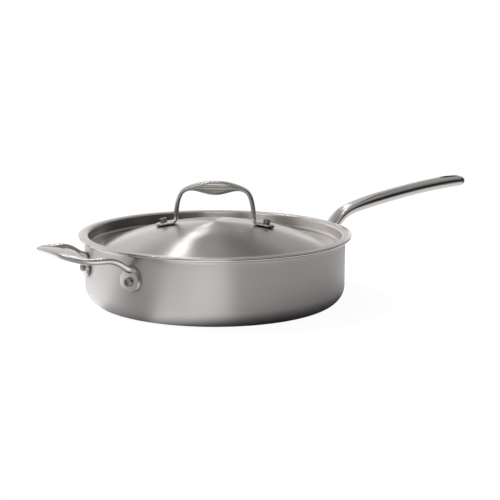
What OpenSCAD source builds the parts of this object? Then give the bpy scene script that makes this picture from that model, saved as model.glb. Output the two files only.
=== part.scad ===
// Covered saute pan: a straight-walled pan with a rolled-out lip, a long stick
// handle, a helper loop opposite it and an inset domed lid with an arched grip.
// The origin is the centre of the base, Z is up and the stick handle points to +X.

/* [Pan body] */
// Outside diameter of the straight wall
body_d = 281; // [250:1:320]
// Height from the base to the top of the lip
body_h = 73.2; // [66:0.1:90]
// Thickness of the pan's sheet
body_t = 2.3; // [1.6:0.1:3]
// Outside radius between the base and the wall
corner_r = 19.5; // [12:0.5:24]
// Radius of the bend under the lip
lip_bend_r = 4; // [2:0.5:5]
// Flat width of the lip beyond its bend
lip_flat = 2; // [1:0.5:4]

/* [Lid] */
// How far the lid's flange reaches past the pan's lip
flange_over = 0.5; // [0:0.1:3]
// Thickness of the lid's sheet
lid_t = 1; // [0.8:0.1:1.6]
// Radial play between the lid's plug wall and the pan
lid_play = 0.8; // [0.5:0.1:2]
// Air left between the resting flange and the lip
lid_seat_gap = 0.1; // [0.05:0.05:0.3]
// Depth of the lid's channel below its flange
lid_depth = 12.7; // [8:0.1:18]
// Width of the flat channel floor round the dome
channel_w = 17; // [10:1:30]
// Height of the dome above the channel floor
dome_h = 25; // [15:0.5:35]

/* [Stick handle] */
// Reach of the stick handle from the wall to its tip
stick_reach = 228; // [180:0.5:280]
// Height of the grip's centre line at its far end
stick_end_z = 102; // [85:0.5:130]
// Width of the grip
stick_w = 20.5; // [16:0.5:26]
// Height of the grip's section
stick_h = 13.5; // [9:0.5:17]
// Width of the neck where it clears the lip
neck_w = 19.5; // [16:0.5:32]
// Thickness of the neck
neck_t = 9.5; // [4:0.5:11]
// Length of the hanging slot
slot_l = 28; // [16:1:40]
// Width of the hanging slot
slot_w = 9; // [6:0.5:11]
// Metal left between the slot and the tip
slot_margin = 8.5; // [7:0.5:16]

/* [Helper handle] */
// Reach of the helper loop from the wall to its outer edge
loop_reach = 64.5; // [55:0.5:85]
// Distance between the centre lines of the loop's arms
loop_span = 92; // [76:0.5:104]
// Height of the arms' roots above the rivets
loop_root_rise = 14; // [10:0.5:16]
// Rise of the arms above their roots
loop_arm_rise = 12.5; // [6:0.5:18]
// Further rise of the grip above the arms
loop_rise = 4.5; // [0:0.5:12]
// Width of the loop's grip
loop_grip_w = 27; // [20:0.5:32]
// Width of the loop's arms
loop_arm_w = 11.5; // [9:0.5:14]
// Thickness of the loop's section
loop_t = 6.4; // [5:0.1:9]

/* [Handle pads] */
// Half the width of each helper pad
helper_pad_w = 12.5; // [11:0.5:15]
// Drop of each helper pad below its rivet
helper_pad_drop = 10.5; // [9:0.5:14]
// Thickness of the cast pads on the wall
pad_t = 4; // [3:0.25:6]
// Air between a pad and the surface that it lies on
pad_gap = 0.05; // [0.02:0.01:0.1]
// Height of the rivets above the base
pad_rivet_z = 44.5; // [38:0.5:52]
// Distance between the two upper stick rivets
stick_rivet_pitch = 36; // [30:1:44]
// Drop from the upper stick rivets to the lower one
stick_rivet_drop = 15; // [12:1:18]

/* [Rivets] */
// Shank diameter of the pan's rivets
rivet_d = 6.4; // [5:0.2:7]
// Head diameter of the pan's rivets, inside the pan
rivet_head_d = 14; // [11:0.5:16]
// Height of a pan rivet's head
rivet_head_h = 1.8; // [1.2:0.1:3]
// Collar diameter of the pan's rivets, on the pads
rivet_tail_d = 9.4; // [8:0.2:11]
// Height of a pan rivet's collar
rivet_tail_h = 2.9; // [2:0.1:4.5]
// Radial clearance of a rivet in its hole
rivet_fit = 0.05; // [0.02:0.01:0.1]
// Size of the lid's rivets beside the pan's
lid_rivet_ratio = 0.8; // [0.6:0.05:1]
// Height of a lid rivet's collar
lid_rivet_tail_h = 4; // [2:0.1:5]

/* [Lid handle] */
// Turn of the lid's handle about the vertical, from the stick handle
lid_turn = -39; // [-90:1:90]
// Distance between the centre lines of the handle's legs
leg_span = 85; // [70:0.5:100]
// Height of the grip's centre above the dome's top
grip_rise = 37; // [30:0.5:50]
// Width of the handle's legs
leg_w = 12; // [9:0.5:16]
// Thickness of the handle's legs
leg_t = 4.6; // [3.5:0.1:6]
// Width of the handle's grip
grip_w = 18; // [14:0.5:22]
// Height of the grip at its middle
grip_h = 15; // [9:0.5:16]
// Length of each foot outward of its leg
foot_l = 22; // [17:0.5:26]
// Width of each foot
foot_w = 16; // [12:0.5:20]
// Thickness of each foot
foot_t = 3.5; // [2:0.1:4.5]

/* [Hidden] */

steel = [0.76, 0.75, 0.73];
cast_steel = [0.70, 0.69, 0.67];
rivet_steel = [0.62, 0.61, 0.60];

body_r = body_d / 2;
inner_r = body_r - body_t;
lip_r = body_r + lip_bend_r + lip_flat;
end_round = 0.45;

flange_r = lip_r + flange_over;
flange_z = body_h + lid_seat_gap + lid_t / 2;
plug_r = inner_r - lid_play - lid_t / 2;
channel_z = flange_z - lid_depth;
plug_bend_r = 2;
channel_bend_r = 3.5;
dome_r = plug_r - channel_w;
dome_sphere_r = (dome_r * dome_r + dome_h * dome_h) / (2 * dome_h);
dome_top_z = channel_z + dome_h + lid_t / 2;
dome_centre_z = channel_z + dome_h - dome_sphere_r;

tip_r = body_r + stick_reach;
stick_root_z = pad_rivet_z + 5.5;
pad_core = 1.5;
slot_r = tip_r - slot_margin - slot_l / 2;

helper_angle = asin(loop_span / 2 / (body_r + pad_t));
loop_root_z = pad_rivet_z + loop_root_rise;
loop_grip_d = body_r + loop_reach - loop_grip_w / 2;

lid_rivet_q = leg_span / 2 + foot_l - foot_w * 0.6;
lid_rivet_tilt = asin(lid_rivet_q / dome_sphere_r);

// Points of an arc, from angle a0 to angle a1
function arc(c, r, a0, a1, n) =
    [for (i = [0:n]) let (a = a0 + (a1 - a0) * i / n) c + r * [cos(a), sin(a)]];

function unit(v) = v / norm(v);
function mix(a, b, t) = a + (b - a) * t;
function smooth(a, b, x) = let (t = min(1, max(0, (x - a) / (b - a)))) t * t * (3 - 2 * t);
function signed_pow(v, e) = v < 0 ? -pow(-v, e) : pow(v, e);
function flip(list) = [for (i = [len(list) - 1:-1:0]) list[i]];

// A corner at b, between a and c, rounded to radius r
function corner(a, b, c, r, n) =
    let (u = unit(a - b), w = unit(c - b), half = acos(u * w) / 2,
        m = b + unit(u + w) * r / sin(half),
        p = b + u * r / tan(half) - m, q = b + w * r / tan(half) - m,
        a0 = atan2(p[1], p[0]), turn = atan2(p[0] * q[1] - p[1] * q[0], p * q))
    arc(m, r, a0, a0 + turn, n);

// Outline of a bent sheet: its middle line, thickened by t to both sides
function side_step(path, i) = path[i][0] == 0 ? [0, 1] :
    let (a = path[i - 1], b = path[min(len(path) - 1, i + 1)], d = unit(b - a)) [-d[1], d[0]];
function sheet_outline(path, t, edge_round) = let (last = len(path) - 1,
    n = side_step(path, last) * (t / 2 - edge_round),
    out = unit(path[last] - path[last - 1]) * edge_round)
    concat(
    [for (i = [0:last]) path[i] + side_step(path, i) * t / 2],
    [path[last] + out + n, path[last] + out - n],
    flip([for (i = [0:last]) path[i] - side_step(path, i) * t / 2]));

// Uniform cubic B-spline through the middle of its control points
function spline_at(p, i, t) = (p[i] * pow(1 - t, 3) + p[i + 1] * (3 * t * t * t - 6 * t * t + 4)
    + p[i + 2] * (-3 * t * t * t + 3 * t * t + 3 * t + 1) + p[i + 3] * t * t * t) / 6;
function spline(p, stations) = [for (u = stations) let (i = min(len(p) - 4, floor(u)))
    spline_at(p, i, u - i)];

// Section of a cast handle: a crowned top that meets fuller sides at a soft edge
function section(w, up, down, top_e, low_e, n) = [for (i = [0:n - 1]) let (a = 360 * i / n,
    e = sin(a) >= 0 ? 2 / top_e : 2 / low_e)
    [w / 2 * signed_pow(cos(a), e), (sin(a) >= 0 ? up : down) * signed_pow(sin(a), e)]];

// Closed skin over rings of n points each, the ends closed by fans
module skin(rings) {
    n = len(rings[0]);
    m = len(rings);
    middle = function (ring) [for (k = [0:2]) [for (p = ring) p[k]] * [for (p = ring) 1] / n];
    points = concat([for (r = rings, p = r) p], [middle(rings[0]), middle(rings[m - 1])]);
    faces = concat(
        [for (j = [0:m - 2], i = [0:n - 1]) [j * n + i, (j + 1) * n + i, j * n + (i + 1) % n]],
        [for (j = [0:m - 2], i = [0:n - 1])
            [j * n + (i + 1) % n, (j + 1) * n + i, (j + 1) * n + (i + 1) % n]],
        [for (i = [0:n - 1]) [i, (i + 1) % n, m * n]],
        [for (i = [0:n - 1]) [(m - 1) * n + (i + 1) % n, (m - 1) * n + i, m * n + 1]]);
    polyhedron(points, faces, convexity = 10);
}

// Rings of sections along a path; flat lies across the section's thickness
function ring_at(path, i, flat, shape) =
    let (t = unit(path[min(len(path) - 1, i + 1)] - path[max(0, i - 1)]),
        s = unit(cross(flat, t)), u = cross(t, s))
    [for (p = shape) path[i] + s * p[0] + u * p[1]];

// Cast pad that follows the wall, with rounded edges: the lower half is egg-shaped and
// the upper half comes to more of a point the smaller top_e is
module wall_pad(half_w, rise, drop, z, top_e) {
    n = 32;
    outline = [for (i = [0:n - 1]) let (a = 360 * i / n, e = sin(a) > 0 ? 2 / top_e : 0.9)
        [half_w * signed_pow(cos(a), e), (sin(a) > 0 ? rise : drop) * signed_pow(sin(a), e)]];
    on_wall = function (p, out) let (a = p[0] / body_r * 180 / PI)
        [(body_r + pad_gap + out) * cos(a), (body_r + pad_gap + out) * sin(a), z + p[1]];
    back = [for (k = [0.2, 0.6, 0.94]) [for (p = outline) on_wall(p * k, 0)]];
    edge = [for (a = [0:22.5:90]) [for (p = outline)
        on_wall(p * (0.92 + 0.08 * cos(a) * cos(a)), pad_t * (0.18 + 0.62 * sin(a)))]];
    front = [for (k = [0.75, 0.45, 0.15]) [for (p = outline) on_wall(p * k, pad_t)]];
    skin(concat(back, edge, front));
}

// Rivet along +X: a low head inside, a shank and a collar with a hollow end outside
module rivet(size, grip, head_h, tail_h, head_gap) {
    shank = rivet_d / 2 * size;
    head = rivet_head_d / 2 * size;
    tail = rivet_tail_d / 2 * size;
    bore = tail * 0.58;
    bore_l = tail_h * 0.85;
    rotate([0, 90, 0]) rotate_extrude($fn = 48) polygon(concat(
        [[0, -head_gap - head_h]],
        arc([head - head_h * 0.8, -head_gap - head_h * 0.2], head_h * 0.8, -90, 0, 5),
        [[head, -head_gap], [shank, -head_gap], [shank, grip], [tail, grip]],
        arc([tail - end_round, grip + tail_h - end_round], end_round, 0, 90, 3),
        [[bore, grip + tail_h], [bore, grip + tail_h - bore_l], [0, grip + tail_h - bore_l]]));
}

// Places its children on the wall at a turn and a height, with +X outward
module on_wall(turn, z) {
    rotate([0, 0, turn]) translate([inner_r, 0, z]) children();
}

module wall_rivet(turn, z) {
    head_gap = inner_r - sqrt(inner_r * inner_r - pow(rivet_head_d / 2, 2)) + pad_gap;
    color(rivet_steel) on_wall(turn, z)
        rivet(1, body_t + pad_gap + pad_t + pad_gap, rivet_head_h, rivet_tail_h, head_gap);
}

module wall_hole(turn, z) {
    on_wall(turn, z) translate([-body_t, 0, 0]) rotate([0, 90, 0])
        cylinder(r = rivet_d / 2 + rivet_fit, h = body_t * 3 + pad_t, $fn = 48);
}

// Turn of each upper stick rivet from the handle's middle
stick_rivet_turn = asin(stick_rivet_pitch / 2 / body_r);

module stick_holes() {
    for (s = [-1, 1]) wall_hole(s * stick_rivet_turn, pad_rivet_z + 1);
    wall_hole(0, pad_rivet_z + 1 - stick_rivet_drop);
}

module helper_holes() {
    for (s = [-1, 1]) wall_hole(180 + s * helper_angle, pad_rivet_z);
}

// Middle line of the pan's sheet, from the centre of the base to the lip's edge.
// The second point ends the part of the base that lies dead flat.
pan_path = concat(
    [[0, body_t / 2], [body_r - corner_r - 2, body_t / 2]],
    corner([0, body_t / 2], [body_r - body_t / 2, body_t / 2], [body_r - body_t / 2, body_h],
        corner_r - body_t / 2, 14),
    corner([body_r - body_t / 2, body_t], [body_r - body_t / 2, body_h - body_t / 2],
        [lip_r, body_h - body_t / 2], lip_bend_r + body_t / 2, 8),
    [[lip_r - end_round, body_h - body_t / 2]]);

module pan_body() {
    color(steel) difference() {
        rotate_extrude($fn = 180) polygon(sheet_outline(pan_path, body_t, end_round));
        stick_holes();
        helper_holes();
    }
}

// Stick handle: centre line rising from the pad, over the lip and out along the grip
neck_z = stick_root_z + 35.5;
stick_turns = [[pad_core - 9, stick_root_z], [pad_core, stick_root_z], [pad_core + 9, stick_root_z + 1],
    [19, stick_root_z + 12], [28, stick_root_z + 21.5], [38, neck_z - 5.5],
    [54, neck_z - 0.5], [80, mix(neck_z, stick_end_z, 0.2)],
    [stick_reach * 0.5, mix(neck_z, stick_end_z, 0.5)],
    [stick_reach * 0.68, mix(neck_z, stick_end_z, 0.78)],
    [stick_reach * 0.84, stick_end_z - 0.8], [stick_reach - 14, stick_end_z],
    [stick_reach, stick_end_z - 0.5], [stick_reach + 14, stick_end_z - 1.5]];
stick_path = spline([for (p = stick_turns) [body_r + p[0], 0, p[1]]], concat(
    [for (u = [0:0.25:5.75]) u], [for (u = [6:0.34:9.4]) u], [for (a = [10:10:90]) 9.4 + 1.6 * sin(a)]));

function stick_ring(i) = let (p = stick_path[i], out = p[0] - body_r, left = tip_r - p[0],
    grip = smooth(34, 92, out), root = 1 - smooth(0, 20, out),
    end = max(0.08, sqrt(max(0, 1 - pow(max(0, 1 - left / (stick_w * 0.55)), 2)))),
    swell = 1.5 * smooth(stick_reach * 0.66, stick_reach * 0.88, out),
    slim = 1.5 * smooth(stick_reach - 32, stick_reach - 2, out),
    w = (mix(neck_w, stick_w, smooth(25, 70, out)) + swell + 8 * root) * end,
    h = (mix(neck_t, stick_h, grip) + 3 * root) * mix(0.5, 1, end) - slim,
    top = h * mix(0.34, 0.48, grip))
    ring_at(stick_path, i, [0, 0, 1],
        section(w, top, h - top, mix(3.2, 2.1, grip), mix(2.8, 2.2, grip), 28));

module hanging_slot() {
    translate([slot_r, 0, stick_end_z - 4 * stick_h]) linear_extrude(8 * stick_h) polygon(concat(
        arc([slot_l / 2 - slot_w / 2, 0], slot_w / 2, -90, 90, 11),
        arc([-slot_l / 2 + slot_w / 2, 0], slot_w / 2, 90, 270, 11)));
}

module stick_handle() {
    color(cast_steel) difference() {
        union() {
            wall_pad(stick_rivet_pitch / 2 + 11, 14, stick_rivet_drop + 10, pad_rivet_z, 2.2);
            skin([for (i = [0:len(stick_path) - 1]) stick_ring(i)]);
        }
        stick_holes();
        hanging_slot();
    }
}

// Helper loop: half of its centre line, from a root in its pad to the grip's middle
loop_side = loop_span / 2 + 0.5;
loop_arm_z = loop_root_z + loop_arm_rise;
function loop_root(out, z) = [(body_r + out) * cos(helper_angle), (body_r + out) * sin(helper_angle), z];
loop_half = [
    loop_root(pad_core - 7, loop_root_z - 0.5), loop_root(pad_core, loop_root_z),
    loop_root(pad_core + 6, loop_root_z + 1.5),
    [body_r + 8, loop_side, loop_arm_z - 4.5], [body_r + 17, loop_side, loop_arm_z - 0.8],
    [body_r + 28, loop_side, loop_arm_z], [loop_grip_d - 10, loop_side - 1.5, loop_arm_z],
    [loop_grip_d - 4.5, loop_side - 10, loop_arm_z + loop_rise * 0.2],
    [loop_grip_d - 1, loop_side - 23, loop_arm_z + loop_rise * 0.65],
    [loop_grip_d + 0.8, loop_side - 38, loop_arm_z + loop_rise]];
loop_turns = concat(loop_half, flip([for (p = loop_half) [p[0], -p[1], p[2]]]));
loop_path = [for (p = spline(loop_turns, [for (u = [0:0.25:len(loop_turns) - 3]) u]))
    [-p[0], -p[1], p[2]]];

function loop_ring(i) = let (p = loop_path[i], out = norm([p[0], p[1]]) - body_r, side = abs(p[1]),
    grip = smooth(loop_side * 0.98, loop_side * 0.35, side)
        * smooth(loop_reach - 44, loop_reach - 24, out),
    root = 1 - smooth(3, 11, out), w = mix(loop_arm_w, loop_grip_w, grip) + 2 * root,
    h = loop_t + 2 * grip + 1.5 * root)
    ring_at(loop_path, i, [0.12, 0, 1], section(w, h * 0.28, h * 0.72, 1.8, 2.3, 24));

module helper_handle() {
    color(cast_steel) difference() {
        union() {
            for (s = [-1, 1]) rotate([0, 0, 180 + s * helper_angle])
                wall_pad(helper_pad_w, loop_root_rise + 2.5, helper_pad_drop, pad_rivet_z, 1.6);
            skin([for (i = [0:len(loop_path) - 1]) loop_ring(i)]);
        }
        helper_holes();
    }
}

// Middle line of the lid's sheet, from the dome's top to the flange's edge
lid_path = let (reach = asin(dome_r / dome_sphere_r), top = [0, dome_centre_z])
    concat(
    arc(top, dome_sphere_r, 90, 90 - reach * 23 / 24, 23),
    corner(top + dome_sphere_r * [sin(reach * 23 / 24), cos(reach * 23 / 24)], [dome_r, channel_z],
        [plug_r, channel_z], 6, 3),
    corner([dome_r, channel_z], [plug_r, channel_z], [plug_r, flange_z], channel_bend_r, 6),
    corner([plug_r, channel_z], [plug_r, flange_z], [flange_r, flange_z], plug_bend_r, 6),
    [[flange_r - lid_t * 0.3, flange_z]]);

// Places its children where a lid rivet goes, with +X out of the dome
module dome_rivet_place(side) {
    rotate([0, 0, lid_turn]) translate([0, 0, dome_centre_z]) rotate([0, side * lid_rivet_tilt - 90, 0])
        translate([dome_sphere_r - lid_t / 2, 0, 0]) children();
}

module dome_holes() {
    for (s = [-1, 1]) dome_rivet_place(s) translate([-lid_t, 0, 0]) rotate([0, 90, 0])
        cylinder(r = rivet_d / 2 * lid_rivet_ratio + rivet_fit, h = 4 * foot_t, $fn = 48);
}

module lid_rivet(side) {
    head_r = rivet_head_d / 2 * lid_rivet_ratio;
    under_r = dome_sphere_r - lid_t / 2;
    head_gap = under_r - sqrt(under_r * under_r - head_r * head_r) + pad_gap;
    color(rivet_steel) dome_rivet_place(side)
        rivet(lid_rivet_ratio, lid_t + foot_t + 2 * pad_gap, rivet_head_h * lid_rivet_ratio,
            lid_rivet_tail_h, head_gap);
}

module lid_shell() {
    color(steel) difference() {
        rotate_extrude($fn = 180) polygon(sheet_outline(lid_path, lid_t, lid_t * 0.3));
        dome_holes();
    }
}

// Lid handle: half of its centre line in the arch's own plane
function dome_z(q, over) = dome_centre_z + sqrt(pow(dome_sphere_r + lid_t / 2 + over, 2) - q * q);
foot_over = pad_gap + foot_t / 2;
leg_q = leg_span / 2;
foot_end_q = leg_q + foot_l;
grip_z = dome_top_z + grip_rise;
arch_foot = [for (i = [0:8]) let (q = mix(foot_end_q, leg_q + 6, i / 8)) [q, dome_z(q, foot_over)]];
arch_bend = corner(arch_foot[8], [leg_q, dome_z(leg_q, foot_over)],
    [leg_q - 2, dome_z(leg_q, foot_over) + 20], 4, 5);
arch_rise = spline([
    [leg_q + 0.2, dome_z(leg_q, foot_over) - 2], [leg_q - 0.5, dome_z(leg_q, foot_over) + 8],
    [leg_q - 1.2, grip_z - 24], [leg_q - 3, grip_z - 13], [leg_q - 7, grip_z - 4.5],
    [leg_q - 14, grip_z - 1.5], [leg_q - 22, grip_z - 0.3], [leg_q - 31, grip_z],
    [leg_q - 43, grip_z + 0.2], [-leg_q + 31, grip_z]], [for (u = [0:0.25:7]) u]);
arch_half = concat(arch_foot, arch_bend, [for (i = [2:len(arch_rise) - 1]) arch_rise[i]]);
arch_path = [for (p = concat(arch_half, flip([for (i = [0:len(arch_half) - 1])
    if (arch_half[i][0] > 0.5) [-arch_half[i][0], arch_half[i][1]]]))) [p[0], 0, p[1]]];

function arch_ring(i) = let (p = arch_path[i], q = abs(p[0]), left = foot_end_q - q,
    foot = smooth(dome_z(leg_q, foot_over) + 6, dome_z(leg_q, foot_over) + 1, p[2]),
    grip = smooth(leg_q - 8, 4, q), belly = smooth(leg_q - 12, 1, q),
    round_end = sqrt(max(0.02, 1 - pow(max(0, 1 - left / (foot_w / 2)), 2))),
    w = mix(mix(leg_w, grip_w, smooth(leg_q - 6, 6, q)), foot_w, foot) * (foot > 0.5 ? round_end : 1),
    thin = foot > 0.5 ? mix(0.6, 1, round_end) : 1,
    up = mix(mix(leg_t / 2, grip_h * 0.42, grip), foot_t / 2, foot) * thin,
    down = mix(mix(leg_t / 2, grip_h * 0.58, belly), foot_t / 2, foot) * thin,
    shape = section(w, up, down, 3, mix(3, 2.3, grip), 20))
    ring_at(arch_path, i, [0, 1, 0], [for (s = shape) [s[1], -s[0]]]);

module lid_handle() {
    color(cast_steel) difference() {
        rotate([0, 0, lid_turn]) skin([for (i = [0:len(arch_path) - 1]) arch_ring(i)]);
        dome_holes();
    }
}

pan_body();
stick_handle();
wall_rivet(stick_rivet_turn, pad_rivet_z + 1);  // stick_rivet_far
wall_rivet(-stick_rivet_turn, pad_rivet_z + 1);  // stick_rivet_near
wall_rivet(0, pad_rivet_z + 1 - stick_rivet_drop);  // stick_rivet_low
helper_handle();
wall_rivet(180 - helper_angle, pad_rivet_z);  // helper_rivet_far
wall_rivet(180 + helper_angle, pad_rivet_z);  // helper_rivet_near
lid_shell();
lid_handle();
lid_rivet(1);  // lid_rivet_near
lid_rivet(-1);  // lid_rivet_far
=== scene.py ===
# %% [markdown]
# # A covered saute pan
#
# The real pan is pressed and spun stainless sheet with cast handles riveted to it. This lesson loads
# the measured CAD model as a frame, lays smoother surfaces over it, gives each one a finish and sets
# up a small photo studio round it. Sizes are written in millimetres, as in the pan's own drawing, and
# turned into metres when a mesh is made.

import bpy
import numpy as np
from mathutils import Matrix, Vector


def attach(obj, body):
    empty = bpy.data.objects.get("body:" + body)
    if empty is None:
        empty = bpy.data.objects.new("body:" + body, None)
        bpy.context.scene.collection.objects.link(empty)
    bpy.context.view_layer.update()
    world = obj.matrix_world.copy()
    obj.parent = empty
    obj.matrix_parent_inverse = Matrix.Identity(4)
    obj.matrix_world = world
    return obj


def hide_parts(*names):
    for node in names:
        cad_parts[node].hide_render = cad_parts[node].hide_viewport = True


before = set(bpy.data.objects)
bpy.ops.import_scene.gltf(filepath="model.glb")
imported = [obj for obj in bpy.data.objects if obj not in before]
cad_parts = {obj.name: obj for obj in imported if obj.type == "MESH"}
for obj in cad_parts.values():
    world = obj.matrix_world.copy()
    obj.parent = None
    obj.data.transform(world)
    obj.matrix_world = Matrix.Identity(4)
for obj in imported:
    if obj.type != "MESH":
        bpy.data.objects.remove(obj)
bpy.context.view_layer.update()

# %% [markdown]
# ## The camera
#
# A product photograph is taken with a long lens from a little above, which keeps circles calm and
# verticals upright. The camera was found by fitting ellipses to the lid's rim, the wall and the base,
# so it is placed by numbers: 1.5 m away, 12 degrees up, with the lens shifted to frame the handle.

# %% Place the camera
MM = 0.001
camera_data = bpy.data.cameras.new("camera")
camera_data.lens = 99.36
camera_data.sensor_width = 36.0
camera_data.shift_x = 0.0702
camera_data.shift_y = 0.0446
camera = bpy.data.objects.new("camera", camera_data)
camera.location = (-0.8375, -1.2050, 0.3406)
looking_at = Vector((0.0, 0.0, 0.030))
camera.rotation_euler = (looking_at - camera.location).to_track_quat("-Z", "Y").to_euler()
bpy.context.scene.collection.objects.link(camera)
bpy.context.scene.camera = camera
bpy.context.scene.view_settings.view_transform = "Standard"

# %% [markdown]
# ## Sizes
#
# These are the drawing's own sizes, group by group: the pan's sheet, the lid's sheet, the pads and the
# stick handle, the helper loop, the rivets and the lid's handle. A piece that fits another takes its
# place from the same values. Only lip_round, rim_round and bore_round are chosen for their looks,
# because they set how wide the bright line along an edge is.

# %% Sizes in millimetres
body_r, body_h, body_t, corner_r = 140.5, 73.2, 2.3, 19.5
lip_bend_r, lip_flat, lip_round = 4.0, 2.0, 1.0
inner_r, lip_r = body_r - body_t, body_r + lip_bend_r + lip_flat

lid_t, flange_over, lid_depth, channel_w, dome_h = 1.0, 0.5, 12.7, 17.0, 25.0
lid_play, lid_seat_gap, rim_round = 0.8, 0.1, 0.48
flange_r, flange_z = lip_r + flange_over, body_h + lid_seat_gap + lid_t / 2
plug_r, channel_z = inner_r - lid_play - lid_t / 2, flange_z - lid_depth
dome_r = plug_r - channel_w
dome_sphere_r = (dome_r**2 + dome_h**2) / (2 * dome_h)
dome_centre_z = channel_z + dome_h - dome_sphere_r
dome_top_z = channel_z + dome_h + lid_t / 2

pad_t, pad_gap, pad_rivet_z, pad_core = 4.0, 0.05, 44.5, 1.5
stick_reach, stick_end_z, stick_w, stick_h, neck_w, neck_t = 228.0, 102.0, 20.5, 13.5, 19.5, 9.5
slot_l, slot_w, slot_margin = 28.0, 9.0, 8.5
stick_rivet_pitch, stick_rivet_drop = 36.0, 15.0

loop_reach, loop_span, loop_root_rise, loop_arm_rise, loop_rise = 64.5, 92.0, 14.0, 12.5, 4.5
helper_pad_w, helper_pad_drop = 12.5, 10.5
loop_grip_w, loop_arm_w, loop_t = 27.0, 11.5, 6.4

rivet_d, rivet_head_d, rivet_head_h, rivet_tail_d, rivet_tail_h = 6.4, 14.0, 1.8, 9.4, 2.9
lid_rivet_ratio, lid_rivet_tail_h = 0.8, 4.0
collar_round, bore_round = 0.45, 0.25

lid_turn, leg_span, grip_rise = -39.0, 85.0, 37.0
leg_w, leg_t, grip_w, grip_h, foot_l, foot_w, foot_t = 12.0, 4.6, 18.0, 15.0, 22.0, 16.0, 3.5
print("Dome sphere radius:", round(dome_sphere_r, 1), "mm, top at", round(dome_top_z, 1), "mm")

# %% [markdown]
# ## Small tools for curves
#
# Every shape here is a curve carried round an axis or along a path. Three tools make the curves: an
# arc that rounds a corner, a B-spline that runs softly past its control points, and an S-shaped ramp
# that turns one size into another. The others are small steps of vector arithmetic.

# %% Curves
def rad(degrees):
    return np.radians(degrees)


def unit(v):
    """Each vector divided by its length."""
    return v / np.linalg.norm(v, axis=-1, keepdims=True)


def arc(centre, radius, start, end, count):
    """Points at centre + radius (cos a, sin a), with a in degrees from start to end."""
    a = rad(np.linspace(start, end, count))
    return np.asarray(centre) + radius * np.stack([np.cos(a), np.sin(a)], -1)


def rounded(a, b, c, radius, count):
    """The corner a-b-c rounded by an arc that touches both legs.

    Its centre lies on the line that halves the corner, radius / sin(half the angle) from b."""
    a, b, c = (np.asarray(p, float) for p in (a, b, c))
    u, w = unit(a - b), unit(c - b)
    half = np.arccos(np.clip(u @ w, -1, 1)) / 2
    centre = b + unit(u + w) * radius / np.sin(half)
    p, q = b + u * radius / np.tan(half) - centre, b + w * radius / np.tan(half) - centre
    start = np.degrees(np.arctan2(p[1], p[0]))
    turn = np.degrees(np.arctan2(p[0] * q[1] - p[1] * q[0], p @ q))
    return arc(centre, radius, start, start + turn, count)


def spline(controls, count):
    """Uniform cubic B-spline: each point is the weighted mean of its four nearest controls."""
    p = np.asarray(controls, float)
    u = np.linspace(0, len(p) - 3, count)
    i = np.minimum(u.astype(int), len(p) - 4)
    t = (u - i)[:, None]
    return ((1 - t)**3 * p[i] + (3 * t**3 - 6 * t**2 + 4) * p[i + 1]
            + (-3 * t**3 + 3 * t**2 + 3 * t + 1) * p[i + 2] + t**3 * p[i + 3]) / 6


def even(path, step):
    """The same path with its points one step apart, measured along it."""
    along = np.concatenate([[0], np.cumsum(np.linalg.norm(np.diff(path, axis=0), axis=1))])
    marks = np.linspace(0, along[-1], int(along[-1] / step) + 1)
    return np.stack([np.interp(marks, along, path[:, k]) for k in range(path.shape[1])], -1)


def mix(a, b, t):
    """a + (b - a) t: a where t is 0 and b where t is 1."""
    return a + (b - a) * t


def smooth(a, b, x):
    """0 at a, 1 at b and an S between them: 3 t^2 - 2 t^3."""
    t = np.clip((x - a) / (b - a), 0, 1)
    return t * t * (3 - 2 * t)


def signed_power(v, e):
    """The size of v raised to e, with the sign of v."""
    return np.sign(v) * np.abs(v)**e


# %% [markdown]
# ## From points to a mesh
#
# A surface is a grid of points, so its faces follow from the grid alone. The ends are closed with a
# fan round a middle point. Whether the faces point outwards is settled by the sign of the volume that
# they enclose: if it comes out negative, every face is turned round.

# %% Make a piece from rings of points
def skin(rings):
    """Points and faces over rings (rows, around, 3): quads between rows, a fan over each end."""
    rows, around = rings.shape[:2]
    points = np.concatenate([rings.reshape(-1, 3), rings[0].mean(0)[None], rings[-1].mean(0)[None]])
    j, i = np.meshgrid(np.arange(rows - 1), np.arange(around), indexing="ij")
    k = (i + 1) % around
    quads = np.stack([j * around + i, (j + 1) * around + i, (j + 1) * around + k, j * around + k], -1)
    i, k = np.arange(around), (np.arange(around) + 1) % around
    last = (rows - 1) * around
    first_fan = np.stack([i, k, np.full(around, rows * around)], -1)
    last_fan = np.stack([last + k, last + i, np.full(around, rows * around + 1)], -1)
    faces = [quads.reshape(-1, 4), first_fan, last_fan]
    corners = points[np.concatenate([faces[0][:, :3], faces[0][:, [0, 2, 3]], first_fan, last_fan])]
    volume = np.einsum("ij,ij->", corners[:, 0], np.cross(corners[:, 1], corners[:, 2])) / 6
    if volume < 0:
        faces = [f[:, ::-1] for f in faces]
    return points, faces, abs(volume)


def make_piece(name, skins, body, slot, *nodes):
    """One object in metres from closed skins in millimetres, riding on a body in place of CAD nodes."""
    points, faces, start = [], [], 0
    for p, f, _ in skins:
        points.append(p)
        faces += [row.tolist() for part in f for row in part + start]
        start += len(p)
    mesh = bpy.data.meshes.new(name)
    mesh.from_pydata(np.concatenate(points) * MM, [], faces)
    mesh.polygons.foreach_set("use_smooth", np.ones(len(mesh.polygons), bool))
    piece = bpy.data.objects.new(name, mesh)
    bpy.context.scene.collection.objects.link(piece)
    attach(piece, body)
    if nodes:
        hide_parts(*nodes)
    print(name, len(mesh.polygons), "faces,", round(sum(s[2] for s in skins) / 1000, 1), "cm3")
    return piece


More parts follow.
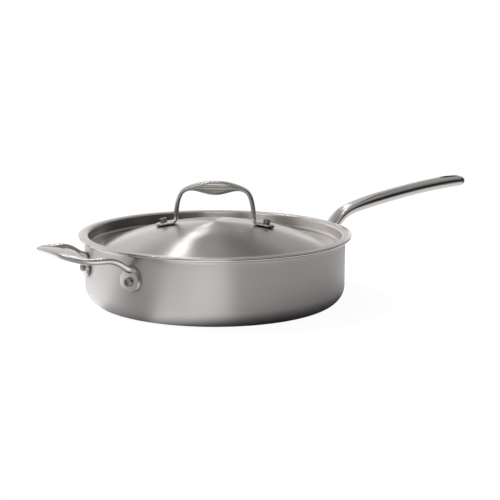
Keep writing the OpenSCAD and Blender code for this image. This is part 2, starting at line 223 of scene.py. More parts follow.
def revolve(profile, around=288):
    """A profile (radius, height) carried round Z: (r cos a, r sin a, z). Its ends lie on the axis."""
    a = np.linspace(0, 2 * np.pi, around, endpoint=False)
    r, z = profile[1:-1, :1], profile[1:-1, 1:]
    rings = np.stack([r * np.cos(a), r * np.sin(a), z + 0 * a], -1)
    points, faces, volume = skin(rings)
    points[-2], points[-1] = [0, 0, profile[0, 1]], [0, 0, profile[-1, 1]]
    return points, faces, volume


# %% [markdown]
# ## The pan's shell
#
# The body is one sheet, pressed to a flat base, a round corner and a straight wall, and rolled
# outwards at the top. A lathed profile is the right tool: the outer side and the inner side are the
# same line offset by the sheet's thickness, so every bend keeps one centre for both of its radii.

# %% Revolve the pan
# One more ring lies on the base, and one lies on each straight stretch, a little off its bend.
base_ring_r, off_bend = 60, 3


def pan_side(o):
    """The pan's line at distance o inside its outer face; bends grow or shrink with o."""
    wall, lip = body_r - o, body_h - body_t + o
    return np.concatenate([
        [[0, o], [base_ring_r, o], [body_r - corner_r - off_bend, o]],
        rounded([0, o], [wall, o], [wall, body_h], corner_r - o, 26),
        [[wall, corner_r + off_bend], [wall, lip - lip_bend_r - o - off_bend]],
        rounded([wall, o], [wall, lip], [lip_r, lip], lip_bend_r + o, 14)])


lip_top = arc([lip_r - lip_round, body_h - lip_round], lip_round, 90, 0, 8)
lip_low = arc([lip_r - lip_round, body_h - body_t + lip_round], lip_round, 0, -90, 8)
pan_profile = np.concatenate([pan_side(0), lip_low[::-1], lip_top[::-1], pan_side(body_t)[::-1]])
pan = make_piece("pan_sheet", [revolve(pan_profile)], "pan", "brushed_sheet", "pan_body")

# %% [markdown]
# ## The lid's shell
#
# The lid drops into the pan: a flat flange rests on the lip, a short wall plugs the opening, a flat
# channel runs round the foot of a shallow dome. The dome is part of a sphere, which is what a spun
# lid is, and every bend is rounded because sheet can't fold sharply.

# %% Revolve the lid
# Radii of the bends at the dome's foot, at the channel's outer side and under the flange.
foot_bend_r, channel_bend_r, plug_bend_r = 7, 3.5, 2
# The dome runs over this share of its angle before its foot bends.
dome_share = 0.965


def lid_side(o):
    """The lid's line at distance o above its middle line, from the dome's top to the flange."""
    ball, level = dome_sphere_r + o, channel_z + o
    edge = np.arccos((level - dome_centre_z) / ball)
    a = np.linspace(0, edge * dome_share, 40)
    dome = np.stack([ball * np.sin(a), dome_centre_z + ball * np.cos(a)], -1)
    foot, plug = [ball * np.sin(edge), level], plug_r - o
    return np.concatenate([
        dome[:-1],
        rounded(dome[-1], foot, [plug, level], foot_bend_r - o, 8),
        rounded(foot, [plug, level], [plug, flange_z], channel_bend_r - o, 10),
        rounded([plug, level], [plug, flange_z + o], [flange_r, flange_z + o], plug_bend_r + o, 10)])


rim_r = flange_r - rim_round
flange_low = arc([rim_r, flange_z - lid_t / 2 + rim_round], rim_round, -90, 0, 4)
flange_top = arc([rim_r, flange_z + lid_t / 2 - rim_round], rim_round, 0, 90, 4)
lid_profile = np.concatenate([
    lid_side(lid_t / 2), flange_top[::-1], flange_low[::-1], lid_side(-lid_t / 2)[::-1]])
lid = make_piece("lid_sheet", [revolve(lid_profile)], "lid", "spun_sheet", "lid_shell")

# %% [markdown]
# ## Cast handles
#
# A cast handle is a section carried along a curve. The section is a superellipse, |x|^n + |y|^n = 1:
# n = 2 is an ellipse and a larger n comes closer to a box with round edges, which is how a polished
# casting looks. The top and the underside have different powers, so they meet in a soft crease. Each
# handle on the wall also has pads, whose outline is a superellipse too, bent round the wall.

# %% Carry a section along a path, and bend a pad round the wall
AROUND = 72
# The power below a pad's middle. An ellipse's is 1, and a smaller one is a little fuller.
PAD_LOW_POWER = 0.96


def loft(path, across, width, up, down, top_n, low_n):
    """Rings of path + across * w/2 cos^(2/n) + normal * h sin^(2/n), where h and n are those of the
    top on the upper side and those of the underside below."""
    along = unit(np.gradient(path, axis=0))
    across = unit(np.cross(np.broadcast_to(across, path.shape), along))
    normal = np.cross(along, across)
    a = np.linspace(0, 2 * np.pi, AROUND, endpoint=False)
    c, s = np.cos(a), np.sin(a)
    width, up, down, top_n, low_n = (np.broadcast_to(v, len(path))[:, None]
                                     for v in (width, up, down, top_n, low_n))
    power = np.where(s >= 0, 2 / top_n, 2 / low_n)
    x = width / 2 * signed_power(c, power)
    y = np.where(s >= 0, up, down) * signed_power(s, power)
    return path[:, None] + across[:, None] * x[..., None] + normal[:, None] * y[..., None]


def wall_pad(turn, half_w, rise, drop, z, top_n):
    """A pad that follows the wall: its outline's x is an angle x / body_r, its y a height.

    The outline is shrunk towards its middle on the back, follows a quarter circle round the edge and
    is shrunk again on the front, while the radius grows from the wall to the pad's thickness."""
    a = np.linspace(0, 2 * np.pi, 96, endpoint=False)
    power = np.where(np.sin(a) > 0, 2 / top_n, PAD_LOW_POWER)
    outline_x = half_w * signed_power(np.cos(a), power)
    outline_z = np.where(np.sin(a) > 0, rise, drop) * signed_power(np.sin(a), power)
    bend = rad(np.linspace(0, 90, 7))
    shrink = np.concatenate([[0.2, 0.6, 0.93], 0.92 + 0.08 * np.cos(bend), [0.85, 0.6, 0.2]])[:, None]
    outwards = np.concatenate([[0, 0, 0], pad_t * (0.15 + 0.85 * np.sin(bend)), [pad_t] * 3])[:, None]
    angle = rad(turn) + shrink * outline_x / body_r
    r = body_r + pad_gap + outwards
    return skin(np.stack([r * np.cos(angle), r * np.sin(angle), z + shrink * outline_z], -1))


# %% [markdown]
# ## The stick handle
#
# It rises from its riveted pad, clears the lip, bends outwards and thickens into the grip. Its neck
# is wide and thin, so that it stays cool and stiff, and its tip has a long hole for a hook. The hole
# is cut with a boolean, and sharp edges are kept only where the surface really turns.

# %% Loft the stick
tip_r = body_r + stick_reach
stick_root_z = pad_rivet_z + 5.5
neck_z = stick_root_z + 35.5
# Control points as (distance out from the wall, height): the root, the neck, the grip and the tip.
stick_turns = [
    [pad_core - 9, stick_root_z], [pad_core, stick_root_z], [pad_core + 9, stick_root_z + 1],
    [19, stick_root_z + 12], [28, stick_root_z + 21.5], [38, neck_z - 5.5], [54, neck_z - 0.5],
    [80, mix(neck_z, stick_end_z, 0.2)], [stick_reach * 0.5, mix(neck_z, stick_end_z, 0.5)],
    [stick_reach * 0.68, mix(neck_z, stick_end_z, 0.78)], [stick_reach * 0.84, stick_end_z - 0.8],
    [stick_reach - 14, stick_end_z], [stick_reach, stick_end_z - 0.5],
    [stick_reach + 14, stick_end_z - 1.5]]
stick_run = even(spline(stick_turns, 900), 1.0)
# The last 12 mm are drawn again with rings that crowd towards the tip, where the outline turns fast.
crowding = 1 - np.sin(rad(np.linspace(0, 90, 14)))[:, None]
tip_run = stick_run[-1] + (stick_run[-13] - stick_run[-1]) * crowding
stick_run = np.concatenate([stick_run[:-13], tip_run])
stick_path = np.stack([body_r + stick_run[:, 0], 0 * stick_run[:, 0], stick_run[:, 1]], -1)

# %% The stick's section along its path
stick_out = stick_run[:, 0]
stick_grip = smooth(34, 92, stick_out)
stick_root = 1 - smooth(0, 20, stick_out)
# The tip's outline is half an ellipse: sqrt(1 - t^2), with t from 0 where it begins to 1 at its end.
# It stops just above zero, so that the last ring's points stay apart.
tip_t = np.maximum(0, 1 - (stick_reach - stick_out) / (stick_w * 0.55))
tip_round = np.sqrt(np.maximum(0.0004, 1 - tip_t**2))
swell = 1.5 * smooth(stick_reach * 0.66, stick_reach * 0.88, stick_out)
slim = 1.5 * smooth(stick_reach - 32, stick_reach - 2, stick_out)
stick_width = (mix(neck_w, stick_w, smooth(25, 70, stick_out)) + swell + 8 * stick_root) * tip_round
stick_depth = (mix(neck_t, stick_h, stick_grip) + 3 * stick_root) * mix(0.5, 1, tip_round) - slim
stick_top = stick_depth * mix(0.34, 0.48, stick_grip)
stick_rings = loft(stick_path, [0, 0, 1], stick_width, stick_top, stick_depth - stick_top,
                   mix(3.2, 2.1, stick_grip), mix(2.8, 2.2, stick_grip))
stick_pad = wall_pad(0, stick_rivet_pitch / 2 + 11, 14, stick_rivet_drop + 10, pad_rivet_z, 2.2)
stick = make_piece("stick_casting", [skin(stick_rings), stick_pad], "pan", "cast_steel", "stick_handle")

# %% Cut the hanging hole
slot_r = tip_r - slot_margin - slot_l / 2
slot_half = slot_l / 2 - slot_w / 2
slot_outline = np.concatenate([
    arc([slot_r + slot_half, 0], slot_w / 2, -90, 90, 17),
    arc([slot_r - slot_half, 0], slot_w / 2, 90, 270, 17)])
# The cutter stands upright through the grip, from well below it to well above it.
cutter_points = np.stack([
    np.stack([slot_outline[:, 0], slot_outline[:, 1], 0 * slot_outline[:, 0] + z], -1)
    for z in (60.0, 140.0)])
points, faces, _ = skin(cutter_points)
cutter_mesh = bpy.data.meshes.new("cutter")
cutter_mesh.from_pydata(points * MM, [], [row.tolist() for part in faces for row in part])
cutter = bpy.data.objects.new("cutter", cutter_mesh)
bpy.context.scene.collection.objects.link(cutter)
cut = stick.modifiers.new("hole", "BOOLEAN")
cut.object, cut.operation, cut.solver = cutter, "DIFFERENCE", "EXACT"
bpy.context.view_layer.update()
holed = bpy.data.meshes.new_from_object(stick.evaluated_get(bpy.context.evaluated_depsgraph_get()))
stick.modifiers.clear()
stick.data = holed
bpy.data.objects.remove(cutter)
bpy.data.meshes.remove(cutter_mesh)
holed.set_sharp_from_angle(angle=rad(35))
print("stick with its hole:", len(holed.polygons), "faces")

# %% [markdown]
# ## The helper loop
#
# A long stick is not enough to lift a full pan, so a second handle sits opposite. Its two arms stand
# on pads, run straight out and turn into a broad grip. The path is mirrored about the pan's middle
# plane, so both halves are the same.

# %% Loft the helper loop
helper_angle = np.degrees(np.arcsin(loop_span / 2 / (body_r + pad_t)))
loop_root_z = pad_rivet_z + loop_root_rise
loop_side = loop_span / 2 + 0.5
arm_z = loop_root_z + loop_arm_rise
loop_grip_d = body_r + loop_reach - loop_grip_w / 2


def loop_root(reach, z):
    """The point at that height which lies reach outside the wall, straight out from the rivet."""
    distance = body_r + reach
    return [distance * np.cos(rad(helper_angle)), distance * np.sin(rad(helper_angle)), z]


# Control points of one half, from inside its pad along the arm to the middle of the grip.
loop_half = np.array([
    loop_root(pad_core - 7, loop_root_z - 0.5), loop_root(pad_core, loop_root_z),
    loop_root(pad_core + 6, loop_root_z + 1.5), [body_r + 8, loop_side, arm_z - 4.5],
    [body_r + 17, loop_side, arm_z - 0.8], [body_r + 28, loop_side, arm_z],
    [loop_grip_d - 10, loop_side - 1.5, arm_z],
    [loop_grip_d - 4.5, loop_side - 10, arm_z + loop_rise * 0.2],
    [loop_grip_d - 1, loop_side - 23, arm_z + loop_rise * 0.65],
    [loop_grip_d + 0.8, loop_side - 38, arm_z + loop_rise]])
loop_turns = np.concatenate([loop_half, loop_half[::-1] * [1, -1, 1]])
loop_path = even(spline(loop_turns, 900), 1.0) * [-1, -1, 1]

# %% The loop's section along its path, and its pads
loop_out = np.hypot(loop_path[:, 0], loop_path[:, 1]) - body_r
from_middle = np.abs(loop_path[:, 1])
loop_grip = (smooth(loop_side * 0.98, loop_side * 0.35, from_middle)
             * smooth(loop_reach - 44, loop_reach - 24, loop_out))
loop_foot = 1 - smooth(3, 11, loop_out)
loop_width = mix(loop_arm_w, loop_grip_w, loop_grip) + 2 * loop_foot
loop_depth = loop_t + 2 * loop_grip + 1.5 * loop_foot
loop_rings = loft(loop_path, [0.12, 0, 1], loop_width, loop_depth * 0.28, loop_depth * 0.72, 1.8, 2.3)
helper_pads = [
    wall_pad(180 + side * helper_angle, helper_pad_w, loop_root_rise + 2.5, helper_pad_drop,
             pad_rivet_z, 1.9)
    for side in (-1, 1)]
helper = make_piece("helper_casting", [skin(loop_rings)] + helper_pads, "pan", "cast_steel",
                    "helper_handle")

# %% [markdown]
# ## The lid's handle
#
# An arch in one piece: two feet that lie on the dome, two flat legs and a grip that swells in the
# middle. Its path lies in one upright plane, so it is drawn flat, as (distance from the middle,
# height), and turned with the lid.

# %% The arch's path
foot_over, leg_q = pad_gap + foot_t / 2, leg_span / 2


def dome_height(q, over):
    """Height of the point that lies over above the dome's top face, at distance q from its middle."""
    return dome_centre_z + np.sqrt((dome_sphere_r + lid_t / 2 + over)**2 - q**2)


foot_end_q, grip_z, leg_z = leg_q + foot_l, dome_top_z + grip_rise, dome_height(leg_q, foot_over)
foot_q = np.linspace(foot_end_q, leg_q + 6, 30)
foot_run = np.stack([foot_q, dome_height(foot_q, foot_over)], -1)
bend_run = rounded(foot_run[-1], [leg_q, leg_z], [leg_q - 2, leg_z + 20], 4, 12)
rise_run = spline([
    [leg_q + 0.2, leg_z - 2], [leg_q - 0.5, leg_z + 8], [leg_q - 1.2, grip_z - 24],
    [leg_q - 3, grip_z - 13], [leg_q - 7, grip_z - 4.5], [leg_q - 14, grip_z - 1.5],
    [leg_q - 22, grip_z - 0.3], [leg_q - 31, grip_z], [leg_q - 43, grip_z + 0.2],
    [-leg_q + 31, grip_z]], 200)
# The rise's first points lie inside the bend, so they are left out.
arch_half = np.concatenate([foot_run, bend_run, rise_run[14:]])
arch = even(np.concatenate([arch_half, (arch_half * [-1, 1])[::-1][1:]]), 0.9)

# %% The arch's section along its path
q, z = np.abs(arch[:, 0]), arch[:, 1]
foot = smooth(leg_z + 6, leg_z + 1, z)
on_foot = foot > 0.5
arch_grip = smooth(leg_q - 8, 4, q)
belly = smooth(leg_q - 12, 1, q)
# A foot's end is half an ellipse, as the stick's tip is.
foot_end_t = np.maximum(0, 1 - (foot_end_q - q) / (foot_w / 2))
foot_round = np.sqrt(np.maximum(0.0004, 1 - foot_end_t**2))
leg_or_grip_w = mix(leg_w, grip_w, smooth(leg_q - 6, 6, q))
arch_width = mix(leg_or_grip_w, foot_w, foot) * np.where(on_foot, foot_round, 1)
thin = np.where(on_foot, mix(0.6, 1, foot_round), 1)
arch_up = mix(mix(leg_t / 2, grip_h * 0.42, arch_grip), foot_t / 2, foot) * thin
arch_down = mix(mix(leg_t / 2, grip_h * 0.58, belly), foot_t / 2, foot) * thin
arch_path = np.stack([arch[:, 0], 0 * q, z], -1)
arch_along = unit(np.gradient(arch_path, axis=0))
arch_rings = loft(arch_path, unit(np.cross([0, 1, 0], arch_along)), arch_width, arch_up, arch_down,
                  3, mix(3, 2.3, arch_grip))
lid_angle = rad(lid_turn)
spin = np.array([
    [np.cos(lid_angle), np.sin(lid_angle), 0], [-np.sin(lid_angle), np.cos(lid_angle), 0], [0, 0, 1]])
lid_grip = make_piece("lid_handle_casting", [skin(arch_rings @ spin)], "lid", "cast_steel", "lid_handle")

# %% [markdown]
# ## Rivets
#
# Each rivet has a low round head inside and a collar with a hollow end outside. One lathed profile
# serves all seven; only its size, its grip length and its place differ.

# %% Turn a rivet
def rivet(size, grip, head_h, tail_h, head_gap, place):
    """A profile (radius, reach) revolved about the rivet's own axis, then set at a place.

    The reach is 0 at the inner face of the sheet and grip just above the pad. The place is the axis's
    direction and the point where the reach is 0."""
    shank, head, tail = (d / 2 * size for d in (rivet_d, rivet_head_d, rivet_tail_d))
    bore, bore_l = tail * 0.58, tail_h * 0.85
    end, bottom = grip + tail_h, grip + tail_h - bore_l
    head_middle = [head - head_h * 0.8, -head_gap - head_h * 0.2]
    profile = np.concatenate([
        [[0, -head_gap - head_h]], arc(head_middle, head_h * 0.8, -90, 0, 9),
        [[head, -head_gap], [shank, -head_gap], [shank, grip], [tail, grip], [tail, grip + 0.1]],
        arc([tail - collar_round, end - collar_round], collar_round, 0, 90, 6),
        arc([bore + bore_round, end - bore_round], bore_round, 90, 180, 4),
        [[bore, bottom + 0.3], [bore - 0.3, bottom], [0, bottom]]])
    points, faces, volume = revolve(profile, 64)
    axis, start = np.asarray(place[0], float), np.asarray(place[1], float)
    sideways = unit(np.cross([0.3, 0.2, 1], axis))
    turned = np.stack([sideways, np.cross(axis, sideways), axis])
    return points @ turned + start, faces, volume


# %% Place the rivets of the wall
def wall_place(turn, z):
    """Straight out through the wall at a turn about the pan's axis, from its inner face."""
    outwards = np.array([np.cos(rad(turn)), np.sin(rad(turn)), 0])
    return outwards, outwards * inner_r + [0, 0, z]


stick_turn = np.degrees(np.arcsin(stick_rivet_pitch / 2 / body_r))
stick_rivet_z = pad_rivet_z + 1
wall_grip = body_t + 2 * pad_gap + pad_t
# A flat head on the hollow side of the wall stands off by the wall's rise over the head's radius, and
# by the same small gap as a pad.
wall_head_gap = inner_r - np.sqrt(inner_r**2 - (rivet_head_d / 2)**2) + pad_gap
wall_rivets = {
    "stick_rivet_far": (stick_turn, stick_rivet_z), "stick_rivet_near": (-stick_turn, stick_rivet_z),
    "stick_rivet_low": (0, stick_rivet_z - stick_rivet_drop),
    "helper_rivet_far": (180 - helper_angle, pad_rivet_z),
    "helper_rivet_near": (180 + helper_angle, pad_rivet_z)}
rivets = []
for name, where in wall_rivets.items():
    shape = rivet(1, wall_grip, rivet_head_h, rivet_tail_h, wall_head_gap, wall_place(*where))
    rivets.append(make_piece(name + "_turned", [shape], "pan", "rivet_steel", name))

# %% Place the rivets of the lid
lid_rivet_q = leg_q + foot_l - foot_w * 0.6
tilt = np.arcsin(lid_rivet_q / dome_sphere_r)
dome_under = dome_sphere_r - lid_t / 2
lid_rivet_grip = lid_t + foot_t + 2 * pad_gap
lid_head_r, lid_head_h = rivet_head_d / 2 * lid_rivet_ratio, rivet_head_h * lid_rivet_ratio
lid_head_gap = dome_under - np.sqrt(dome_under**2 - lid_head_r**2) + pad_gap
for name, side in (("lid_rivet_near", 1), ("lid_rivet_far", -1)):
    leaning = side * np.sin(tilt)
    outwards = np.array([leaning * np.cos(lid_angle), leaning * np.sin(lid_angle), np.cos(tilt)])
    place = outwards, outwards * dome_under + [0, 0, dome_centre_z]
    shape = rivet(lid_rivet_ratio, lid_rivet_grip, lid_head_h, lid_rivet_tail_h, lid_head_gap, place)
    rivets.append(make_piece(name + "_turned", [shape], "lid", "rivet_steel", name))

# %% [markdown]
# ## Writing shader maths as expressions
#
# A finish is a formula over the surface. Nodes make long formulas hard to read, so a small class
# wraps a socket: + - * / and ** on it add Math nodes, and one method adds any other node. What is the
# same all over a piece is set on the shader itself, and only what varies is linked to it.

# %% The expression class
class Value:
    """A number or vector that varies over a surface: one output socket in a finish's node tree."""

    def __init__(self, finish, socket):
        self.finish, self.socket = finish, socket

    def maths(self, operation, a, b):
        return self.finish.add("ShaderNodeMath", {"operation": operation}, {0: a, 1: b})

    def __add__(self, other):
        return self.maths("ADD", self, other)

    def __sub__(self, other):
        return self.maths("SUBTRACT", self, other)

    def __rsub__(self, other):
        return self.maths("SUBTRACT", other, self)

    def __mul__(self, other):
        return self.maths("MULTIPLY", self, other)

    def __truediv__(self, other):
        return self.maths("DIVIDE", self, other)

    def __pow__(self, other):
        return self.maths("POWER", self, other)

    __radd__, __rmul__ = __add__, __mul__


# %% The finish class
class Finish:
    """A material whose Principled shader gets constants on its own sockets and fields by links."""

    def __init__(self, name, **constants):
        self.material = bpy.data.materials.new(name)
        self.material.use_nodes = True
        self.tree = self.material.node_tree
        self.shader = self.tree.nodes["Principled BSDF"]
        for socket, value in constants.items():
            self.shader.inputs[socket.replace("_", " ")].default_value = value

    def add(self, kind, settings=None, sockets=None, out=0):
        """A new node of a kind: its settings come first, then the values or links of its sockets."""
        made = self.tree.nodes.new(kind)
        for key, value in (settings or {}).items():
            if key == "stops":
                ramp = made.color_ramp.elements
                ramp.remove(ramp[1])
                ramp[0].position = value[0][0]
                ramp[0].color = [value[0][1]] * 3 + [1]
                for at, shade in value[1:]:
                    ramp.new(at).color = [shade] * 3 + [1]
            elif key == "interpolation":
                made.color_ramp.interpolation = value
            else:
                setattr(made, key, value)
        for key, value in (sockets or {}).items():
            if isinstance(value, Value):
                self.tree.links.new(value.socket, made.inputs[key])
            else:
                made.inputs[key].default_value = value
        return Value(self, made.outputs[out])

    def feed(self, socket, value):
        """Links a value to one of the shader's sockets."""
        self.tree.links.new(value.socket, self.shader.inputs[socket])

    def place(self, kind="Object"):
        """X, Y and Z of the point on the object in metres, or of the direction in a world's tree."""
        spot = self.add("ShaderNodeTexCoord", out=kind)
        return [self.add("ShaderNodeSeparateXYZ", sockets={0: spot}, out=axis) for axis in "XYZ"]

    def vector(self, x, y, z):
        return self.add("ShaderNodeCombineXYZ", sockets={0: x, 1: y, 2: z})

    def noise(self, vector, scale, detail=2.0, rough=0.5):
        return self.add("ShaderNodeTexNoise", sockets={
            "Vector": vector, "Scale": scale, "Detail": detail, "Roughness": rough})

    def between(self, value, low, high):
        """0 below low, 1 above high and a soft step between them."""
        return self.add("ShaderNodeMapRange", {"interpolation_type": "SMOOTHSTEP"}, {
            "Value": value, "From Min": low, "From Max": high})

    def tint(self, light, dark, amount):
        """The dark colour where the amount is 0, and the light one where it is 1."""
        return self.add("ShaderNodeMix", {"data_type": "RGBA"}, {
            "Factor": amount, 6: dark, 7: light}, out=2)

    def bump(self, strength, distance, height):
        return self.add("ShaderNodeBump", sockets={
            "Strength": strength, "Distance": distance, "Height": height})


# %% [markdown]
# ## Brushed and polished steel
#
# Brushed steel is covered in fine parallel scratches. They scatter light across themselves and hardly
# along themselves, which anisotropy gives, and they vary in depth, which stretched noise gives. The
# scratches here run round the axis, so the noise changes slowly with the angle and fast with the
# height and the radius. Where the sheet's edge is rolled, at the lip and at the lid's rim, it is rubbed
# smoother. The cast handles are polished by hand, with faint clouds and no direction. The rivets are
# coloured darker: painted shade, which stands in for the dark of their hollows and dulls their glints.

# %% Brushed sheet
def brushed(name, colour, roughness, r_way, worn):
    """Steel brushed round the axis: the scratches lie across z + r_way * r, where r_way is 1 or -1.

    Fine ones repeat about 1400 times a metre and broad ones 420 times, under soft clouds."""
    f = Finish(name, Metallic=1.0, Anisotropic=0.9, Anisotropic_Rotation=0.25)
    x, y, z = f.place()
    r = (x * x + y * y + 1e-8) ** 0.5
    line = z + r * r_way
    fine = f.noise(f.vector(x / r * 1.5, y / r * 1.5, line * 1400), 1.0, 3, 0.6)
    broad = f.noise(f.vector(x / r * 2.5, y / r * 2.5, line * 420), 1.0, 2)
    cloud = f.noise(f.vector(x * 9, y * 9, z * 14), 1.0, 3)
    darker = [c * 0.82 for c in colour[:3]] + [1]
    f.feed("Base Color", f.tint(colour, darker, fine * 0.45 + broad * 0.35 + cloud * 0.2))
    rolled_edge = f.between(r, (lip_r - 3.5) * MM, (lip_r - 1.5) * MM)
    rough = roughness - worn / 2 + fine * worn * 0.6 + cloud * worn * 0.4
    f.feed("Roughness", rough * (1 - rolled_edge * 0.7))
    f.feed("Normal", f.bump(0.06, 0.0002, fine))
    return f.material


sheet_finish = brushed("brushed_sheet", (0.63, 0.60, 0.595, 1), 0.45, 1.0, 0.08)
lid_finish = brushed("spun_sheet", (0.63, 0.60, 0.575, 1), 0.28, -1.0, 0.05)


# %% Polished castings and rivets
def polished(name, colour, roughness, worn):
    """Steel polished by hand: clouds a few centimetres across, and a grain of about a millimetre."""
    f = Finish(name, Metallic=1.0)
    spot = f.add("ShaderNodeTexCoord", out="Object")
    cloud = f.noise(spot, 45.0, 4, 0.6)
    grain = f.noise(spot, 900.0, 2)
    f.feed("Base Color", f.tint(colour, [c * 0.85 for c in colour[:3]] + [1], cloud))
    f.feed("Roughness", roughness - worn / 2 + cloud * worn)
    f.feed("Normal", f.bump(0.04, 0.0003, grain))
    return f.material


cast_finish = polished("cast_steel", (0.56, 0.54, 0.52, 1), 0.21, 0.05)
# The rivets' darker colour is painted shade for their hollows, and it dulls their glints.
rivet_finish = polished("rivet_steel", (0.36, 0.35, 0.34, 1), 0.32, 0.08)

# %% Give each piece its finish
finished = [(pan, sheet_finish), (lid, lid_finish)]
finished += [(piece, cast_finish) for piece in (stick, helper, lid_grip)]
finished += [(piece, rivet_finish) for piece in rivets]
for piece, finish in finished:
    piece.data.materials.clear()
    piece.data.materials.append(finish)
print(len(finished), "pieces have their finish")

# %% [markdown]
# ## The studio
#
# Polished metal has no colour of its own: it shows the room. So the room is drawn by direction, in
# degrees to the right of the camera as seen from the pan. The camera itself sees plain white, as in a
# product photograph. Both the floor and the room are node trees, so they share the finishes' class.

# %% Directions round the pan
view_turn = float(np.degrees(np.arctan2(camera.location.y, camera.location.x)))
to_camera = [float(v) for v in (np.cos(rad(view_turn)), np.sin(rad(view_turn)))]
# A ramp's colour ends at 1, so it holds a brightness divided by this.
RAMP_TOP = 4


class Studio(Finish):
    """The node tree of the floor's paint or of the room, with the same expressions as a finish."""

    def __init__(self, owner, shader):
        owner.use_nodes = True
        self.owner, self.tree = owner, owner.node_tree
        self.shader = self.tree.nodes[shader]

    def turn(self, x, y):
        """The direction from the pan, 0 to 1 once round: 0.5 at the camera and more to its right."""
        toward = x * to_camera[0] + y * to_camera[1]
        right = y * to_camera[0] - x * to_camera[1]
        angle = self.add("ShaderNodeMath", {"operation": "ARCTAN2"}, {0: right, 1: toward})
        return angle * (0.5 / np.pi) + 0.5

    def by_turn(self, turn, stops):
        """Brightness by direction, from stops of (degrees to the right of the camera, brightness)."""
        settings = {
            "stops": [((degrees + 180) / 360, brightness / RAMP_TOP) for degrees, brightness in stops],
            "interpolation": "EASE"}
        return self.add("ShaderNodeValToRGB", settings, {0: turn}) * RAMP_TOP

    def ray(self, kind):
        """1 where the tree is seen by that kind of ray, and 0 elsewhere."""
        return self.add("ShaderNodeLightPath", out="Is " + kind + " Ray")


# %% [markdown]
# ## The floor
#
# Seen from a little above, the pan's wall mirrors the floor, so the floor makes most of what shows on
# it. Metal sees the floor bright on the left and in front, with a dark gap between, and plain elsewhere.
# A dark round patch under the pan is its shade, painted into the floor's colour, and beyond half a
# metre the floor darkens, which leaves a pale ring round the pan.

# %% The floor's paint
paint = Studio(bpy.data.materials.new("floor_paint"), "Principled BSDF")
paint.shader.inputs["Roughness"].default_value = 1.0
paint.shader.inputs["Specular IOR Level"].default_value = 0.0
x, y, _ = paint.place()
# The patch's middle lies 42 mm to the camera's right of the pan's. These lengths are in metres.
shade_x, shade_y = x - 0.035, y + 0.024
away = (shade_x * shade_x + shade_y * shade_y) ** 0.5
# Painted shade: lit is 0 in the round patch by the pan and 1 outside it, and it darkens both the paint
# and what metal sees of the floor.
lit = paint.between(away, 0.14, 0.19)
far = paint.between(away, 0.45, 0.6)
pale_paint, shaded_paint = (0.8, 0.8, 0.8, 1), (0.12, 0.12, 0.12, 1)
paint.feed("Base Color", paint.tint(pale_paint, shaded_paint, lit * (1 - far * 0.8)))

# %% What the camera and the metal see of the floor
FLOOR_LIGHT = [
    (-180, 0.8), (-140, 1.0), (-100, 1.35), (-85, 1.5), (-72, 1.5), (-58, 0.2), (-36, 0.15), (-24, 1.3),
    (-10, 1.6), (2, 1.5), (16, 0.85), (30, 1.05), (60, 1.05), (110, 0.9), (180, 0.7)]
mirrored = paint.by_turn(paint.turn(x, y), FLOOR_LIGHT) * lit * (1 - far * 0.95)
# One glow is mixed over the paint. The camera gets 0.6 of 1.6, nearly white, and the paint's own
# light makes it full white where no shadow falls. Metal gets just the brightness worked out above.
glow, camera_share = 1.6, 0.6
camera_ray, metal_ray = paint.ray("Camera"), paint.ray("Glossy") + paint.ray("Transmission")
share = camera_ray * camera_share + metal_ray * mirrored * (1 / glow)
white = paint.add("ShaderNodeEmission", sockets={"Strength": glow})
blend = paint.add("ShaderNodeMixShader", sockets={0: share, 2: white})
paint.tree.links.new(paint.shader.outputs[0], blend.socket.node.inputs[1])
paint.tree.links.new(blend.socket, paint.tree.nodes["Material Output"].inputs[0])

# %% Lay the floor
floor_half = 30
reach = np.linspace(-floor_half, floor_half, 3)
ground = np.stack(np.meshgrid(reach, reach, indexing="ij") + [np.zeros((3, 3))], -1)
corner_of = np.arange(9).reshape(3, 3)
squares = np.stack([corner_of[:-1, :-1], corner_of[1:, :-1], corner_of[1:, 1:], corner_of[:-1, 1:]], -1)
floor_mesh = bpy.data.meshes.new("floor")
floor_mesh.from_pydata(ground.reshape(-1, 3), [], squares.reshape(-1, 4).tolist())
floor_mesh.materials.append(paint.owner)
floor = bpy.data.objects.new("floor", floor_mesh)
bpy.context.scene.collection.objects.link(floor)
print("floor:", 2 * floor_half, "metres wide")

# %% [markdown]
# ## Lamps
#
# A panel behind the stick handle gives it a bright edge. Three small lamps stand behind the pan, from
# high on the left to lower in the middle. Together they draw the long streak down the dome, which one
# lamp could not, because the lid's arch would cut it, and they throw a soft shadow to the front right.

# %% Hang the lamps
def softbox(name, turn, height, distance, width, tall, radiance):
    """A rectangular lamp, turn degrees to the right of the camera, that faces the pan.

    Its power in watts is pi times its area times the brightness that a mirror would show."""
    lamp = bpy.data.lights.new(name, "AREA")
    lamp.shape, lamp.size, lamp.size_y = "RECTANGLE", width, tall
    lamp.energy = np.pi * width * tall * radiance
    box = bpy.data.objects.new(name, lamp)
    a, e = rad(view_turn + turn), rad(height)
    box.location = Vector((np.cos(e) * np.cos(a), np.cos(e) * np.sin(a), np.sin(e))) * distance
    box.rotation_euler = (Vector((0, 0, 0.05)) - box.location).to_track_quat("-Z", "Y").to_euler()
    bpy.context.scene.collection.objects.link(box)
    print(name, "of", round(lamp.energy, 2), "W")


softbox("back_panel", 151, 27, 0.96, 0.5, 0.6, 0.3)
for number, (turn, height, radiance) in enumerate([(-147, 59, 22), (-168, 46, 22), (-176, 33, 12)]):
    softbox(f"streak_{number}", turn, height, 2.4, 0.13, 0.13, radiance)

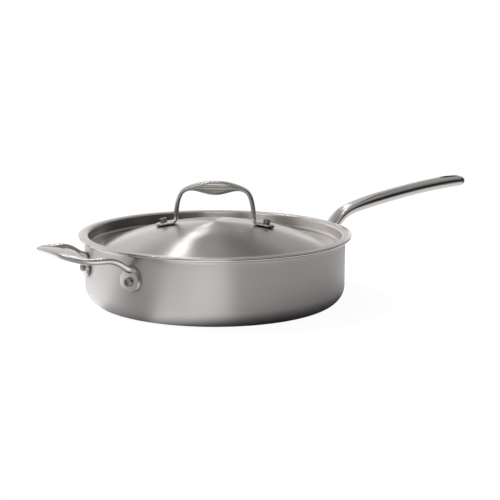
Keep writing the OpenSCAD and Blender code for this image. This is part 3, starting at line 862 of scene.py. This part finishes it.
# %% [markdown]
# ## The room
#
# The room has three bands, one over the other, and an even ceiling. The lowest is a pale sweep behind
# on the left. The middle one has windows on the left. The highest has a strong window on the left and
# a wide panel over the camera, which helps to draw the broad band down the front of the wall, because
# scratches that run round the pan smear light up and down. The right side is dark in all three.

# %% Light the room
LOW = [
    (-180, 0.9), (-150, 1.4), (-135, 2.0), (-112, 1.5), (-90, 0.9), (-60, 0.6), (-36, 0.5), (-24, 0.9),
    (4, 0.9), (16, 0.35), (40, 0.05), (110, 0.05), (130, 0.14), (150, 0.3), (165, 0.7), (180, 0.9)]
MIDDLE = [
    (-180, 0.7), (-172, 0.85), (-164, 0.72), (-145, 1.1), (-118, 0.95), (-96, 1.0), (-86, 0.25),
    (-64, 0.3), (-52, 1.1), (-44, 0.9), (-38, 0.2), (-22, 0.2), (-14, 0.3), (8, 0.3), (14, 0.1),
    (50, 0.02), (130, 0.02), (155, 0.15), (168, 0.25), (175, 0.4), (180, 0.7)]
HIGH = [
    (-180, 0.45), (-160, 0.5), (-120, 0.4), (-95, 0.25), (-78, 0.5), (-66, 1.3), (-56, 2.7),
    (-46, 2.5), (-40, 0.3), (-27, 0.2), (-20, 1.2), (-10, 1.9), (4, 1.9), (11, 1.5), (17, 0.05),
    (40, 0.0), (75, 0.02), (100, 0.35), (145, 0.4), (160, 0.12), (172, 0.12), (177, 0.3), (180, 0.45)]
CEILING = 0.5

sky = Studio(bpy.data.worlds.new("studio"), "Background")
bpy.context.scene.world = sky.owner
sky.shader.inputs["Color"].default_value = (1, 1, 1, 1)
x, y, z = sky.place("Generated")
turn = sky.turn(x, y)
# z is the sine of the height, so the bands meet at about 12, 37 and 58 degrees.
middle, high, top = sky.between(z, 0.16, 0.26), sky.between(z, 0.56, 0.64), sky.between(z, 0.80, 0.90)
low_light = sky.by_turn(turn, LOW) * (1 - middle)
middle_light = sky.by_turn(turn, MIDDLE) * middle * (1 - high)
high_light = sky.by_turn(turn, HIGH) * high * (1 - top)
room = low_light + middle_light + high_light + top * CEILING
camera_ray = sky.ray("Camera")
sky.feed("Strength", camera_ray + (1 - camera_ray) * room)
print("room of", len(LOW) + len(MIDDLE) + len(HIGH), "stops in three bands")
